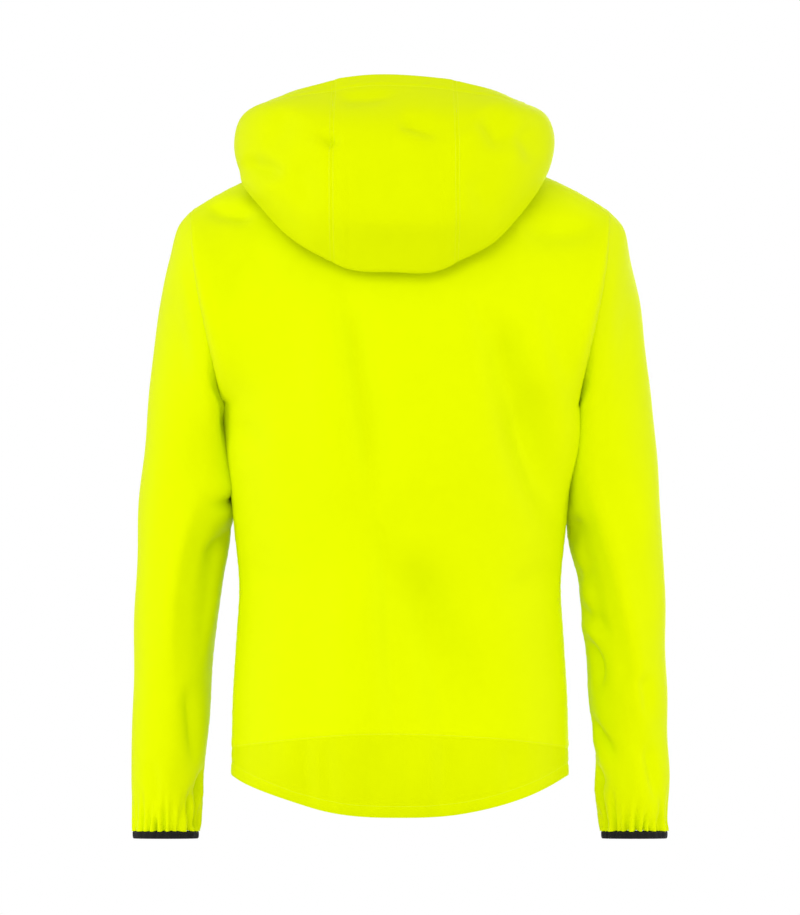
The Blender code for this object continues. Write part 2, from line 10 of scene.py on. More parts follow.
import bpy
import numpy as np
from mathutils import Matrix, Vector


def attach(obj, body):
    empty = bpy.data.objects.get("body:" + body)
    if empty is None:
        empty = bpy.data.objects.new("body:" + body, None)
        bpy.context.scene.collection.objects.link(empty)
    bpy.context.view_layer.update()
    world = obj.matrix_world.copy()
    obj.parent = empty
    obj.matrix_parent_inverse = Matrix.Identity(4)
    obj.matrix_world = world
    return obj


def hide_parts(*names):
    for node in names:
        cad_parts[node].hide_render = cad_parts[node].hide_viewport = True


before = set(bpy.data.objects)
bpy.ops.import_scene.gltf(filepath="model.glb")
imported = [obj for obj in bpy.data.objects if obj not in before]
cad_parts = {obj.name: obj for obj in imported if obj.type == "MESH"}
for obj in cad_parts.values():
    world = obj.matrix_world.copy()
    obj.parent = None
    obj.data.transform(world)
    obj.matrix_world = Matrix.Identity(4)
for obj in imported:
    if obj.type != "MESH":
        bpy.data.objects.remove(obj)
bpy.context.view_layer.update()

# Body's cut, as in the frame's solids
NECK_HALF_WIDTH = 0.077
NECK_SIDE_Z, NECK_BACK_Z, NECK_FRONT_Z = -0.002, -0.024, -0.066
SHOULDER_X = 0.2226
SHOULDER_FALL, SHOULDER_ROLL, RIDGE_ROUND = 0.0465, 0.017, 0.050
ARMPIT_X, ARMPIT_Z = 0.190, -0.268
ARMHOLE_BACK, ARMHOLE_FRONT = 0.070, 0.065
ARMHOLE_SIDE_POWER = 1.2
SECTION_POWER, SECTION_ROOT = 2.4, 1.9
RISE_POWER, RISE_ROOT = 2.2, 1.8
BOW_POWER, BOW_SPREAD = 6, 3
HEM_SIDE_Z, HEM_TAIL_DROP, HEM_TAIL_POWER = -0.6625, 0.0435, 2.6
HEM_FRONT_Z = -0.655
BAND_SIDE_Z, BAND_CENTRE_Z = -0.634, -0.620
ZIP_EDGE = 0.0034

# In millimetres, height, half width, back and front
BODY_SECTIONS = (
    (-268, 190, 137, -130),
    (-307, 186.5, 136.3, -129.8),
    (-350, 181, 133.5, -128),
    (-400, 176.2, 126, -123),
    (-461, 170.7, 121, -120),
    (-519, 173.8, 122, -121),
    (-583, 177.6, 125, -123),
    (-647, 178.6, 128, -125),
    (-720, 178, 131, -127),
)
# In millimetres, outer x and z, inner x and z, half depth, middle y
SLEEVE_RINGS = (
    (234.5, -80, 191.5, -284, 71, -5),
    (245, -115, 189, -306, 72.5, -14),
    (254.5, -165, 184.5, -336, 72, -24),
    (264.5, -245, 180, -376, 69, -33),
    (273.5, -335, 180.5, -416, 64, -37),
    (279.5, -435, 187.5, -457, 60, -38),
    (282.5, -530, 196.8, -530, 56, -42),
    (284, -615, 204, -615, 50, -46),
    (285.7, -680, 208, -680, 44, -49),
    (283.6, -722.5, 214.1, -722.5, 38, -51),
)
# Degrees round the neck and heading in degrees, then in millimetres how far from the neck seam
# and how high the hood runs at its stand, under layer, fold, belly, crown and rim
HOOD_PROFILES = (
    (0, 0, 14, -2, 48, -62, 87, -130, 109, -66, 92, 22, 16, 78.5),
    (36, 0.3, 17.4, -1.1, 56.7, -60.2, 93.5, -129, 116.4, -63.3, 98.9, 22.9, 25.6, 76.3),
    (54, 2, 20, 0, 66, -58, 100, -121, 124, -60, 106, 24, 36, 73.5),
    (72, 34, 16, 8, 56, -30, 86, -84, 112, -36, 99, 36, 50, 64),
    (90, 62, 16, 14, 56, -6, 90, -30, 103, -4, 93, 36, 50, 55),
    (117, 88, 8, 4, 38, 0, 62, -8, 74, 8, 62, 34, 34, 47),
    (144, 132, 2, -38, 12, -26, 22, -10, 26, 8, 22, 24, 14, 38),
    (180, 180, -1, -52, -2, -37, -3, -21, -4, -4, -6, 14, -8, 32),
)
HOOD_SEAM_AT, HOOD_SHIFT = 54, 0.006
HOOD_LOOSE_PLACE, HOOD_FIXED_AT, HOOD_LOOSE_SPAN = 1 / 3, 165, 60
HOOD_FOLD_PLACE = 0.42  # the outer layer starts this far from the neck seam to the rim

# Cloth
WALL = 0.0007  # the cloth's own thickness
SEAM_DIP, SEAM_WIDTH = 0.0003, 0.0026  # how the cloth turns in at a seam
HEM_TURN = 0.022  # depth of the turned hem at the hood's rim
BAND_TURN, FRONT_TURN = 0.013, 0.014  # and at the lower edges
STITCH_INSET, ZIP_STITCH = 0.0022, 0.006  # stitches beside a seam and beside the zip
BAND_STITCH, CUFF_STITCH = 0.0020, 0.0016
CALM_SIDE, CALM_TOP = 0.035, 0.03  # creases fade out this near to the seams
ARM_RADIUS, ARMHOLE_RADIUS = 0.055, 0.070  # turn angles round a sleeve into lengths
CUFF_Z, BINDING_END_Z = -0.7225, -0.7305
GATHERS, GATHER_HEIGHT = 25, 0.060  # how many round a cuff, and how tall
HOOD_TUCK = 0.014  # the hood turns in towards the back below this height, between these x
HOOD_TUCK_Z, HOOD_TUCK_X = -0.062, 0.112
TAIL_TUCK, TAIL_HEIGHT = 0.018, 0.085  # the back hem turns in between these x
TAIL_RIGHT_X, TAIL_LEFT_X = -0.14, 0.17
HOOD_AND_BAND_PAINTED_SHADE = 0.950  # painted shade: the hood and the hem band in a darker copy of the yellow cloth, beside the back
BLOUSING = 0.0095  # the sleeve's inner side swells against the body above the elbow
BLOUSING_AT, BLOUSING_TOP_Z, BLOUSING_END_Z = math.radians(152), -0.245, -0.405
ELASTIC_WALL = 0.0021
CREASE_STEPS = 16  # straight pieces of a crease's bent line
THREAD_PITCH = 0.00045
STITCH_PITCH, STITCH_SIZE = 0.0028, (0.00115, 0.00021, 0.00019)
CLOTH_TONES = ((0.30, 0.697, 0.815), (0.70, 0.707, 0.825))  # place on the ramp, red, green

# Creases, in millimetres: start, bend and end in the piece's own plane, half width at the start
# and the end, and depth, where a negative depth is a ridge. Last comes the share of the depth
# that the cloth beside it stands up, on its left going from start to end, or right if negative.
BACK_CREASES = (
    (59, -125, 40, -260, 15, -445, 16, 19, 11.5, 0.5),
    (19, -370, 10, -510, -2, -700, 17, 23, 10, 0.5),
    (-8, -410, -34, -530, -80, -710, 27, 46, 19, 0.5),
    (-6, -425, -42, -505, -104, -618, 22, 30, 6.5, -0.25),
    (-100, -155, -122, -265, -166, -415, 18, 23, 17.5, -0.4),
    (-132, -240, -156, -335, -174, -435, 15, 17, 11, -0.4),
    (-76, -148, -86, -180, -96, -220, 11, 11, 3.4, 0.45),
    (-150, -145, -166, -200, -178, -275, 14, 15, 4.8, 0.25),
    (-123, -86, -170, -87, -219, -83, 15, 11, 6, -0.3),
    (150, -69, 182, -70, 217, -57, 6.5, 8, 5.2, 0.45),
    (130, -100, 165, -135, 195, -175, 19, 16, 3.2, 0.2),
    (179, -285, 162, -310, 135, -320, 15, 13, 3.6, 0.3),
    (172, -435, 135, -460, 90, -460, 20, 16, 3, 0.25),
    (-174, -435, -135, -465, -100, -472, 18, 15, 3, 0.25),
    (-52, -145, -56, -210, -64, -290, 22, 20, 2.6, 0.2),
    (102, -615, 101, -660, 100, -715, 11, 14, 4.4, 0.35),
    (79, -620, 77.5, -660, 76, -718, 8.5, 11, 3, 0.3),
    (-48, -615, -49, -660, -50, -720, 11, 15, 4.6, 0.35),
    (-118, -620, -120, -660, -122, -705, 12, 14, 3, 0.25),
    (32, -620, 30, -660, 28, -720, 14, 16, 2.4, 0.25),
    (-8, -622, -9, -660, -11, -720, 11, 14, 1.8, 0.25),
)
FRONT_CREASES = (
    (120, -175, 138, -240, 158, -325, 8, 14, 8.8, -0.45),
    (96, -155, 108, -195, 119, -240, 10, 8, 4.2, -0.3),
    (48, -350, 62, -460, 88, -610, 11, 22, 5.5, 0.3),
    (172, -430, 130, -456, 88, -464, 13, 11, 3.2, 0.25),
    (30, -120, 46, -180, 62, -260, 12, 14, 2.8, 0.25),
    (125, -82, 170, -80, 215, -78, 10, 8, 3.8, 0.3),
    (50, -610, 52, -640, 54, -680, 9, 11, 2.4, 0.3),
    (125, -610, 126, -640, 127, -680, 8, 10, 2.2, 0.3),
    (-115, -185, -135, -245, -153, -310, 8.5, 14, 7.8, 0.45),
    (-42, -330, -60, -450, -94, -600, 11, 23, 6.2, -0.3),
    (-170, -445, -125, -470, -80, -466, 14, 11, 3.4, 0.25),
    (-150, -150, -168, -200, -179, -275, 10, 12, 3.6, 0.2),
    (-28, -120, -42, -170, -66, -225, 11, 13, 3.2, 0.25),
    (-90, -610, -91, -640, -93, -680, 9, 11, 2.4, 0.3),
)
# On the sleeves the first of each pair is in degrees from the outer edge towards the back.
LEFT_SLEEVE_CREASES = (
    (114, -330, 64, -470, 98, -590, 14, 14, -5.2, 0),
    (176, -362, 150, -376, 108, -377, 7, 10, 7, -0.45),
    (172, -402, 150, -420, 116, -434, 10, 12, 4.4, -0.3),
    (152, -380, 136, -470, 124, -575, 17, 19, 6.2, 0),
    (112, -560, 122, -610, 142, -670, 12, 13, 5.2, -0.35),
    (150, -200, 152, -270, 146, -345, 12, 15, 5.5, -0.3),
    (95, -115, 112, -170, 136, -230, 13, 15, 3.6, 0.3),
    (40, -130, 62, -200, 80, -290, 18, 18, 2.6, 0.2),
    (168, -655, 140, -690, 118, -712, 10, 10, 4.6, 0.35),
    (170, -650, 160, -695, 150, -775, 8, 9.5, 13, 0),
    (60, -640, 72, -675, 80, -715, 11, 10, 2.6, 0.3),
    (262, -350, 238, -372, 205, -380, 11, 13, 5.2, 0.4),
    (300, -130, 290, -200, 262, -285, 15, 17, 4.4, 0.3),
    (330, -380, 300, -400, 268, -405, 14, 14, 3, 0.3),
    (250, -580, 262, -630, 280, -670, 12, 13, 3.4, 0.3),
)
RIGHT_SLEEVE_CREASES = (
    (130, -300, 84, -450, 62, -680, 14, 14, -5.2, 0),
    (156, -330, 128, -470, 116, -640, 15, 20, 6, 0),
    (150, -384, 158, -406, 170, -430, 9, 10, 3.6, 0.25),
    (174, -448, 156, -456, 130, -456, 9, 10, 3, 0.3),
    (176, -484, 146, -498, 104, -514, 7.5, 9, 5.8, 0.4),
    (168, -512, 124, -540, 146, -584, 10, 11, 7, -0.35),
    (74, -552, 60, -580, 66, -608, 11, 11, 4.4, 0.3),
    (170, -600, 144, -626, 106, -648, 7, 8.5, 7, 0.4),
    (174, -652, 152, -668, 128, -680, 8, 9, 4, 0.3),
    (66, -626, 58, -660, 50, -698, 9.5, 10.5, 5, 0.35),
    (168, -650, 156, -695, 144, -780, 7.5, 9, 14, 0),
    (112, -140, 128, -180, 140, -225, 8.5, 11, 7.2, 0.45),
    (150, -215, 154, -270, 150, -330, 12, 15, 4, -0.3),
    (42, -150, 60, -220, 74, -300, 18, 18, 2.4, 0.2),
    (262, -352, 232, -372, 205, -375, 11, 13, 5, 0.4),
    (302, -130, 288, -200, 260, -280, 15, 17, 4.4, 0.3),
    (256, -600, 268, -640, 284, -675, 12, 12, 3, 0.3),
)
# On the hood, seen from behind: x and height of its outer layer.
HOOD_CREASES = (
    (85, 20, 76, 8, 64, 0, 5.5, 6.5, 4.4, 0.55),
    (64, 16, 70, 8, 80, 0, 5, 5.5, 3, 0.4),
    (6, 29, -22, 24, -52, 12, 8, 11, 6, 0.4),
    (70, 53, 35, 53, -5, 57.5, 6, 5, 3, -0.4),
    (-86, 42, -102, 20, -118, -12, 14, 17, 9.5, 0.4),
    (-124, 26, -138, 4, -146, -22, 12, 13, 5.5, 0.35),
    (168, -12, 150, -22, 114, -31, 9, 10, 8, 0.45),
    (115, 44, 128, 20, 140, -8, 15, 14, 3.6, 0.25),
    (115, -15, 100, -42, 92, -72, 14, 15, 4.4, 0.3),
    (52, -28, 20, -48, -24, -50, 18, 16, 3, 0.25),
    (-76, -25, -88, -52, -96, -80, 14, 15, 4.2, 0.3),
    (-84, -82, 0, -76, 88, -82, 11, 11, -2.2, 0),
)


# ---- surfaces

def smooth(at, stations, values):
    """A smooth curve through the values at rising stations, read at every place in `at`."""
    stations, values = np.asarray(stations, float), np.asarray(values, float)
    slopes = np.gradient(values, stations, axis=0)
    at = np.clip(at, stations[0], stations[-1])
    i = np.clip(np.searchsorted(stations, at, side="right") - 1, 0, len(stations) - 2)
    width = stations[i + 1] - stations[i]
    f = (at - stations[i]) / width
    extra = (1,) * (values.ndim - 1)
    f, width = f.reshape(f.shape + extra), width.reshape(width.shape + extra)
    return (
        values[i] * (1 + 2 * f) * (1 - f) ** 2
        + slopes[i] * width * f * (1 - f) ** 2
        + values[i + 1] * f**2 * (3 - 2 * f)
        + slopes[i + 1] * width * f**2 * (f - 1)
    )


def unit(vectors):
    return vectors / np.maximum(np.linalg.norm(vectors, axis=-1, keepdims=True), 1e-12)


def normals(grid):
    """Unit normals of rows by columns of points. A tube's last column lies on its first."""
    across = np.gradient(grid, axis=1)
    if np.allclose(grid[:, 0], grid[:, -1], atol=1e-7):
        across[:, 0] = across[:, -1] = (grid[:, 1] - grid[:, -2]) / 2
    return unit(np.cross(across, np.gradient(grid, axis=0)))


def ridge_z(x):
    start, end = math.hypot(NECK_HALF_WIDTH, RIDGE_ROUND), math.hypot(SHOULDER_X, RIDGE_ROUND)
    q = (np.hypot(x, RIDGE_ROUND) - start) / (end - start)
    return NECK_SIDE_Z - SHOULDER_FALL * q - SHOULDER_ROLL * q**3


def round_section(share):
    return np.clip(1 - share**SECTION_POWER, 0, 1) ** (1 / SECTION_ROOT)


def shoulder_y(share, z, back):
    x = share * SHOULDER_X
    climb = np.clip((z - ARMPIT_Z) / (ridge_z(x) - ARMPIT_Z), 0, 1)
    level = round_section(share) * (1 - climb**RISE_POWER) ** (1 / RISE_ROOT)
    spread = 0.5 + BOW_SPREAD * (1 - share)
    bow = share**BOW_POWER * (4 * climb * (1 - climb)) ** spread
    behind, before = np.array(BODY_SECTIONS[0][2:]) / 1000
    if back:
        return behind * level + ARMHOLE_BACK * bow
    return before * level - ARMHOLE_FRONT * bow


def neck_point(at):
    reach = np.cos(at)
    x = NECK_HALF_WIDTH * np.sin(at)
    back_z = NECK_SIDE_Z + (NECK_BACK_Z - NECK_SIDE_Z) * reach
    front_z = NECK_SIDE_Z + (NECK_FRONT_Z - NECK_SIDE_Z) * reach**2
    z = np.where(reach > 0, back_z, front_z)
    share = x / SHOULDER_X
    y = np.where(reach > 0, shoulder_y(share, z, True), shoulder_y(share, z, False))
    return np.stack([x, y, z], axis=-1)


def top_edge_z(share, back):
    x = share * SHOULDER_X
    at = np.arcsin(np.clip(x / NECK_HALF_WIDTH, 0, 1))
    on_neck = neck_point(at if back else math.pi - at)[..., 2]
    return np.where(x < NECK_HALF_WIDTH, on_neck, ridge_z(x))


def body_levels(share, z, back):
    share, z = np.broadcast_arrays(share, z)
    stations, half_widths, behind, before = np.array(BODY_SECTIONS).T / 1000
    half = smooth(-z, -stations, half_widths)
    middle = smooth(-z, -stations, behind if back else before)
    return np.stack([share * half, middle * round_section(share), z], axis=-1)


def body_above(share, climb, back):
    share, climb = np.broadcast_arrays(share, climb)
    z = ARMPIT_Z + (top_edge_z(share, back) - ARMPIT_Z) * climb
    half = ARMPIT_X + (SHOULDER_X - ARMPIT_X) * np.sin(climb * math.pi / 2) ** ARMHOLE_SIDE_POWER
    return np.stack([share * half, shoulder_y(share, z, back), z], axis=-1)


def armhole_loop(at):
    """The armhole's edge at angles in radians from the shoulder, first down the back."""
    climb = (1 + np.cos(at)) / 2
    on_back = body_above(1.0, climb, True)
    on_front = body_above(1.0, climb, False)
    return np.where((np.sin(at) >= 0)[:, None], on_back, on_front)


def sleeve_ring(row, at):
    """A ring of points round the sleeve on the wearer's left, at angles in radians."""
    outer_x, outer_z, inner_x, inner_z, half_depth, middle_y = np.array(row) / 1000
    outer = np.array([outer_x, middle_y, outer_z])
    inner = np.array([inner_x, middle_y, inner_z])
    ring = (outer + inner) / 2 + np.cos(at)[:, None] * (outer - inner) / 2
    ring[:, 1] += half_depth * np.sin(at)
    return ring


def sleeve_rows(places, at):
    rings = np.array([armhole_loop(at)] + [sleeve_ring(row, at) for row in SLEEVE_RINGS])
    stations = distances(rings.mean(axis=1))
    return smooth(places * stations[-1], stations, rings)


def hood_rows(at, places):
    """Hood points from the neck seam (place 0) to the rim (1), at degrees round the neck."""
    behind, before = HOOD_PROFILES[1], HOOD_PROFILES[-2]
    profiles = (
        (-behind[0], -behind[1], *behind[2:]),
        *HOOD_PROFILES,
        (360 - before[0], 360 - before[1], *before[2:]),
    )
    stations, *table = np.array(profiles, float).T
    heading, *table = [smooth(at, stations, values) for values in table]
    heading = np.radians(heading)
    out = np.stack([np.sin(heading), np.cos(heading), np.zeros_like(heading)], axis=-1)
    neck = neck_point(np.radians(at))
    knots = [neck]
    for reach, height in zip(table[::2], table[1::2]):
        knot = neck + out * reach[:, None] / 1000
        knot[:, 2] = height / 1000
        knots.append(knot)
    knots = np.array(knots)
    stations = lengths(knots, 0).mean(axis=1)
    return smooth(places * stations[-1], stations, knots)


# ---- fine grids

def distances(line):
    """How far along a line of points each of them is."""
    return np.concatenate([[0], np.cumsum(np.linalg.norm(np.diff(line, axis=0), axis=1))])


def even_steps(line, values, count):
    """Values at even distances along a line of points."""
    along = distances(line)
    return np.interp(np.linspace(0, along[-1], count + 1), along, values)


def half_columns(first_x):
    """A panel's columns as shares of its half width, even round the body."""
    neck = NECK_HALF_WIDTH / SHOULDER_X
    beyond = neck + (1 - neck) * np.sin(np.linspace(0, math.pi / 2, 300))
    line = body_levels(beyond, ARMPIT_Z, True)
    return np.concatenate([
        np.linspace(first_x / SHOULDER_X, neck, 25)[:-1],
        even_steps(line, beyond, 60),
    ])


def half_panel(share, rows_below, back, side):
    climb = np.sin(np.linspace(0, math.pi / 2, 400))
    climb = even_steps(body_above(0.5, climb, back), climb, 96)
    below = body_levels(share, rows_below, back)
    above = body_above(share, climb[1:, None], back)
    grid = eased_joint(np.concatenate([below, above]), len(below), share)
    grid[..., 0] *= side
    return grid


def eased_joint(grid, joint, share, reach=16):
    """The rows beside the armpit's level averaged, less towards the side seam."""
    kernel = np.hanning(reach + 2)[1:-1]
    padded = np.pad(grid, ((reach, reach), (0, 0), (0, 0)), mode="edge")
    mean = np.zeros_like(grid)
    for k, weight in enumerate(kernel / kernel.sum()):
        mean += weight * padded[k + reach // 2 : k + reach // 2 + len(grid)]
    row = np.arange(len(grid))[:, None]
    blend = ease(1.4 - np.abs(row - joint) / reach) * ease((1 - share) / 0.10)
    return grid + blend[..., None] * (mean - grid)


def both_halves(half):
    mirrored = half[:, :0:-1].copy()
    mirrored[..., 0] *= -1
    return np.concatenate([mirrored, half], axis=1)


def band_top(share):
    return BAND_CENTRE_Z + (BAND_SIDE_Z - BAND_CENTRE_Z) * share**2


def back_points():
    share = half_columns(0.0)
    step = np.linspace(0, 1, 107)[:, None]
    heights = band_top(share) + (ARMPIT_Z - band_top(share)) * step
    return both_halves(half_panel(share, heights, True, 1))


def band_points():
    share = half_columns(0.0)
    tail = HEM_SIDE_Z - HEM_TAIL_DROP * (1 - share**HEM_TAIL_POWER)
    heights = tail + (band_top(share) - tail) * np.linspace(0, 1, 33)[:, None]
    return both_halves(body_levels(share, heights, True))


def front_heights(share):
    hem = HEM_FRONT_Z + (HEM_SIDE_Z - HEM_FRONT_Z) * share**2
    step = np.concatenate([np.linspace(0, 0.06, 13)[:-1], np.linspace(0.06, 1, 106)])
    return hem + (ARMPIT_Z - hem) * step[:, None]


def front_points(side):
    share = half_columns(ZIP_EDGE)
    return half_panel(share, front_heights(share), False, side)


def sleeve_points(side):
    at = np.linspace(0, 2 * math.pi, 217)
    places = np.concatenate([np.linspace(0, 0.91, 161)[:-1], np.linspace(0.91, 1, 29)])
    grid = sleeve_rows(places, at)
    grid[..., 0] *= side
    return grid[::-1], at


HOOD_PLACES = np.concatenate([np.linspace(0, 0.93, 121)[:-1], np.linspace(0.93, 1, 15)])
CENTRE_COLUMNS, SIDE_COLUMNS = 36, 110  # of half the hood, in its two panels


def hood_points():
    """The whole hood from its edge on the wearer's left round to the one on the right."""
    last = 180 - math.degrees(math.asin(ZIP_EDGE / NECK_HALF_WIDTH))
    at = np.concatenate([
        np.linspace(0, HOOD_SEAM_AT, CENTRE_COLUMNS + 1),
        np.linspace(HOOD_SEAM_AT, last, SIDE_COLUMNS + 1)[1:],
    ])
    half = hood_rows(at, HOOD_PLACES)
    up = np.clip(HOOD_PLACES / HOOD_LOOSE_PLACE, 0, 1)
    round_neck = np.clip((HOOD_FIXED_AT - at) / HOOD_LOOSE_SPAN, 0, 1)
    shift = HOOD_SHIFT * up[:, None] * round_neck
    grid = both_halves(half)
    grid[..., 0] += np.concatenate([shift[:, :0:-1], shift], axis=1)
    return outward(grid, True)


def zip_points(near, far, columns):
    """The front beside its middle, from the hem to the top of the stand."""
    x = np.linspace(near, far, columns + 1)
    front = half_panel(x / SHOULDER_X, front_heights(x / SHOULDER_X), False, 1)
    at = 180 - np.degrees(np.arcsin(x / NECK_HALF_WIDTH))
    stand = hood_rows(at, np.linspace(0, 1, 40))
    return np.concatenate([front, stand[1:]])


# ---- what the cloth does

def lengths(points, axis):
    """Distance along each row or column, from its first point."""
    step = np.linalg.norm(np.diff(points, axis=axis), axis=2)
    pad = ((1, 0), (0, 0)) if axis == 0 else ((0, 0), (1, 0))
    return np.pad(np.cumsum(step, axis=axis), pad)


def edge_distances(points):
    """How far each point is from the first and last row and the first and last column."""
    up, across = lengths(points, 0), lengths(points, 1)
    return up, up[-1] - up, across, across[:, -1:] - across


def ease(x):
    x = np.clip(x, 0, 1)
    return x * x * (3 - 2 * x)


def crease(a, b, a0, b0, a1, b1, a2, b2, half_width, end_width, depth, lip):
    """One soft trough along a bent line, steeper on the side where the cloth stands up."""
    t = np.linspace(0, 1, CREASE_STEPS + 1)
    line_a = (1 - t) ** 2 * a0 + 2 * t * (1 - t) * a1 + t**2 * a2
    line_b = (1 - t) ** 2 * b0 + 2 * t * (1 - t) * b1 + t**2 * b2
    nearest, off, along = np.full(a.shape, np.inf), np.zeros(a.shape), np.zeros(a.shape)
    for i in range(CREASE_STEPS):
        run_a, run_b = line_a[i + 1] - line_a[i], line_b[i + 1] - line_b[i]
        length = math.hypot(run_a, run_b)
        share = ((a - line_a[i]) * run_a + (b - line_b[i]) * run_b) / length**2
        share = np.clip(share, 0, 1)
        away_a, away_b = a - line_a[i] - share * run_a, b - line_b[i] - share * run_b
        distance = np.hypot(away_a, away_b)
        closer = distance < nearest
        nearest = np.where(closer, distance, nearest)
        side = np.sign(run_a * away_b - run_b * away_a)
        off = np.where(closer, side * distance, off)
        along = np.where(closer, (i + share) / CREASE_STEPS, along)
    off = off * (np.sign(lip) or 1)
    half_width = half_width + (end_width - half_width) * along
    steep = np.where(off > 0, 0.8, 1.2) * half_width
    trough = np.exp(-((off / steep) ** 2))
    stand = abs(lip) * np.exp(-(((off - 2.1 * half_width) / (1.3 * half_width)) ** 2))
    fade = ease(along / 0.3) * ease((1 - along) / 0.45)
    return depth * (stand - trough) * fade


def creases(a, b, table):
    return sum(crease(a, b, *np.array(row[:-1]) / 1000, row[-1]) for row in table)


def drift(a, b, seed, height, length):
    """Slow unevenness of loose cloth."""
    draw = np.random.default_rng(seed)
    total = np.zeros_like(a)
    for _ in range(5):
        turn, phase = draw.uniform(0, 2 * math.pi, 2)
        stretch = draw.uniform(0.7, 1.6)
        total += np.sin((a * math.cos(turn) + b * math.sin(turn)) * 2 * math.pi
                        / (length * stretch) + phase)
    return total * height / 5**0.5


def waves(along, seed, pitches, sway):
    """Uneven ripples along a seam, from -1 to 1."""
    draw = np.random.default_rng(seed)
    total = np.zeros_like(along)
    for pitch in pitches:
        slow = np.sin(along * 2 * math.pi / draw.uniform(0.06, 0.12))
        total += np.sin(along * 2 * math.pi / pitch + draw.uniform(0, 6.3) + sway * slow)
    return total / len(pitches)


def seam(distance, along, seed, pucker=0.0003, allowance=0.0):
    """Cloth turned in at a seam, with small uneven puckers beside it. Where it is topstitched,
    the allowance below lifts it a little."""
    dip = SEAM_DIP * np.exp(-((distance / SEAM_WIDTH) ** 2))
    ripple = waves(along, seed, (0.0085, 0.0125, 0.0190), 1.3)
    fade = np.exp(-((distance / 0.010) ** 2))
    raised = allowance * (1 - ease((distance - 0.006) / 0.002))
    return raised - dip + pucker * ripple * fade


def stitched_groove(distance, at, depth=0.0005):
    return -depth * np.exp(-(((distance - at) / 0.0016) ** 2))


def turned_hem(distance, along, seed, turn=HEM_TURN):
    """The cloth is double below the stitch line, which pulls it in and puckers it a little."""
    double = 0.0006 * (1 - ease((distance - turn) / 0.0015))
    ripple = waves(along, seed, (0.0110, 0.0170, 0.0300), 1.5)
    near = np.exp(-(((distance - turn * 0.8) / 0.010) ** 2))
    groove = 0.0008 * np.exp(-(((distance - turn) / 0.0017) ** 2))
    edge = 0.0005 * np.exp(-((distance / 0.0015) ** 2))
    return double - groove - edge + 0.0003 * ripple * near


def gathers(at, distance, side):
    """Uneven puckers of the sleeve above its elastic, deepest at the binding."""
    draw = np.random.default_rng(5 + side)
    total = np.zeros(np.broadcast_shapes(at.shape, distance.shape))
    for k in range(GATHERS):
        middle = (k + draw.uniform(-0.3, 0.3)) * 2 * math.pi / GATHERS
        half_width = draw.uniform(0.045, 0.095)
        depth = draw.uniform(0.0036, 0.0090)
        height = draw.uniform(0.016, GATHER_HEIGHT)
        bend = draw.uniform(-0.25, 0.25)
        off = np.angle(np.exp(1j * (at - middle - bend * distance / GATHER_HEIGHT)))
        grow = ease(1 - distance / height)
        wide = half_width * (1 + 0.8 * distance / GATHER_HEIGHT)
        total += (0.012 - np.exp(-((off / wide) ** 2))) * depth * grow
    return total


def lifted(points, height):
    return points + normals(points) * height[..., None]


def outward(points, mirror):
    """The grid turned so that its normals leave the body, by reading its columns backwards."""
    return points[:, ::-1].copy() if mirror else points


def turned_grid(points, edge):
    """The same points, read so that the named edge is the first row."""
    if edge in ("left", "right"):
        points = points.swapaxes(0, 1)
    return points[::-1] if edge in ("top", "right") else points


def nearest_on(lines, spots):
    """The nearest place on any of these lines to each spot."""
    best, found = np.full(len(spots), np.inf), spots.copy()
    for line in lines:
        start, run = line[:-1], np.diff(line, axis=0)
        away = spots[:, None] - start
        size = np.maximum((run * run).sum(axis=1), 1e-18)
        share = np.clip((away * run).sum(axis=2) / size, 0, 1)
        place = start + share[..., None] * run
        distance = np.linalg.norm(spots[:, None] - place, axis=2)
        choice = distance.argmin(axis=1)
        rows = np.arange(len(spots))
        closer = distance[rows, choice] < best
        best = np.where(closer, distance[rows, choice], best)
        found[closer] = place[rows, choice][closer]
    return found


def meet(points, edge, lines, where=None, reach=0.012):
    """The cloth with one edge brought onto the edges that it is sewn to."""
    points = points.copy()
    grid = turned_grid(points, edge)
    shift = nearest_on(lines, grid[0]) - grid[0]
    if where is not None:
        shift *= where(grid[0])[:, None]
    weight = 1 - ease(lengths(grid, 0) / reach)
    grid += weight[..., None] * shift
    return points


def drawn_in(points, distance=0.00003):
    """Panels stop just short of each other at their seams."""
    points = points.copy()
    for here, beside in ((0, 1), (-1, -2)):
        for grid in (points, points.swapaxes(0, 1)):
            step = grid[beside] - grid[here]
            size = np.maximum(np.linalg.norm(step, axis=-1, keepdims=True), 1e-9)
            grid[here] = grid[here] + step / size * np.minimum(distance, size / 3)
    return points


# ---- making meshes

def put(name, data, place=(0, 0, 0)):
    """An object in the scene for data that no operator makes."""
    thing = bpy.data.objects.new(name, data)
    thing.location = place
    bpy.context.scene.collection.objects.link(thing)
    return thing


def corner_points(mesh):
    flat = np.empty(len(mesh.vertices) * 3)
    mesh.vertices.foreach_get("co", flat)
    return flat.reshape(-1, 3)


def deselect():
    bpy.ops.object.select_all(action="DESELECT")


